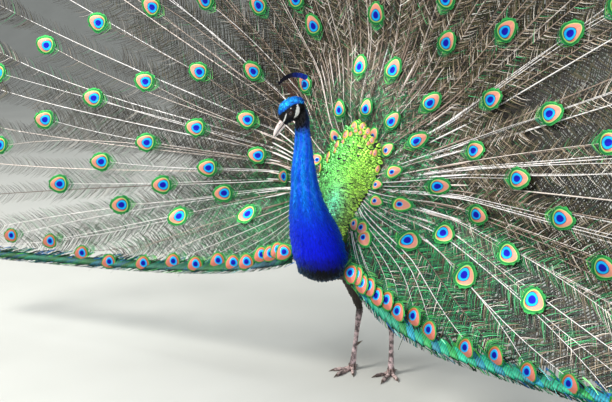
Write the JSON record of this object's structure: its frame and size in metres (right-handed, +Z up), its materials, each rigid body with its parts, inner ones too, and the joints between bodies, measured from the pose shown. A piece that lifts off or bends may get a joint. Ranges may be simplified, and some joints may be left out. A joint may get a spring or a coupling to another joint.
{
  "type": "peacock",
  "caption": "Life-size Indian peacock standing with its train raised in a wide fan and its head turned and bowed, as a still museum model.",
  "frame": {"origin": "on the floor, below the middle of the whole bird's bounding box", "axes": "+Z is up, -Y is the way the breast faces, +X is the bird's left"},
  "size_m": [2.4892, 0.5788, 1.7142],
  "materials": {
    "blue_feather": "glossy blue contour feathers with a green-blue sheen",
    "head_feather": "short glossy blue feathers and bare white skin round the eye",
    "bill_horn": "pale horn, smooth and faintly streaked",
    "eye": "wet dark brown iris and black pupil",
    "crest_feather": "bare reddish shafts with dark blue ends",
    "body_feather": "dark green-black and brown body feathers",
    "scale_feather": "bronze-green scale feathers with dark edges",
    "train_feather": "loose bronze-green barbs, pale shafts and eye-spots of blue, cyan and orange",
    "tail_quill": "matt grey-brown stiff feathers",
    "wing_feather": "chestnut flight feathers and barred buff coverts",
    "down": "soft grey-buff down",
    "leg_scale": "scaly grey-brown skin with horn claws"
  },
  "bodies": {
    "root": {"head": "head_feather", "bill_upper": "bill_horn", "bill_lower": "bill_horn", "crest": "crest_feather", "neck_upper": "blue_feather", "neck_lower": "blue_feather", "breast": "blue_feather", "trunk": "body_feather", "mantle": "scale_feather", "undertail": "down", "eye_left": "eye", "train_left_1": "train_feather", "train_left_2": "train_feather", "train_left_3": "train_feather", "train_left_4": "train_feather", "train_left_5": "train_feather", "train_hem_left_1": "train_feather", "train_hem_left_2": "train_feather", "train_hem_left_3": "train_feather", "tail_left": "tail_quill", "wing_left": "wing_feather", "thigh_left": "body_feather", "shank_left": "leg_scale", "foot_left": "leg_scale", "eye_right": "eye", "train_right_1": "train_feather", "train_right_2": "train_feather", "train_right_3": "train_feather", "train_right_4": "train_feather", "train_right_5": "train_feather", "train_hem_right_1": "train_feather", "train_hem_right_2": "train_feather", "train_hem_right_3": "train_feather", "tail_right": "tail_quill", "wing_right": "wing_feather", "thigh_right": "body_feather", "shank_right": "leg_scale", "foot_right": "leg_scale"}
  },
  "joints": []
}
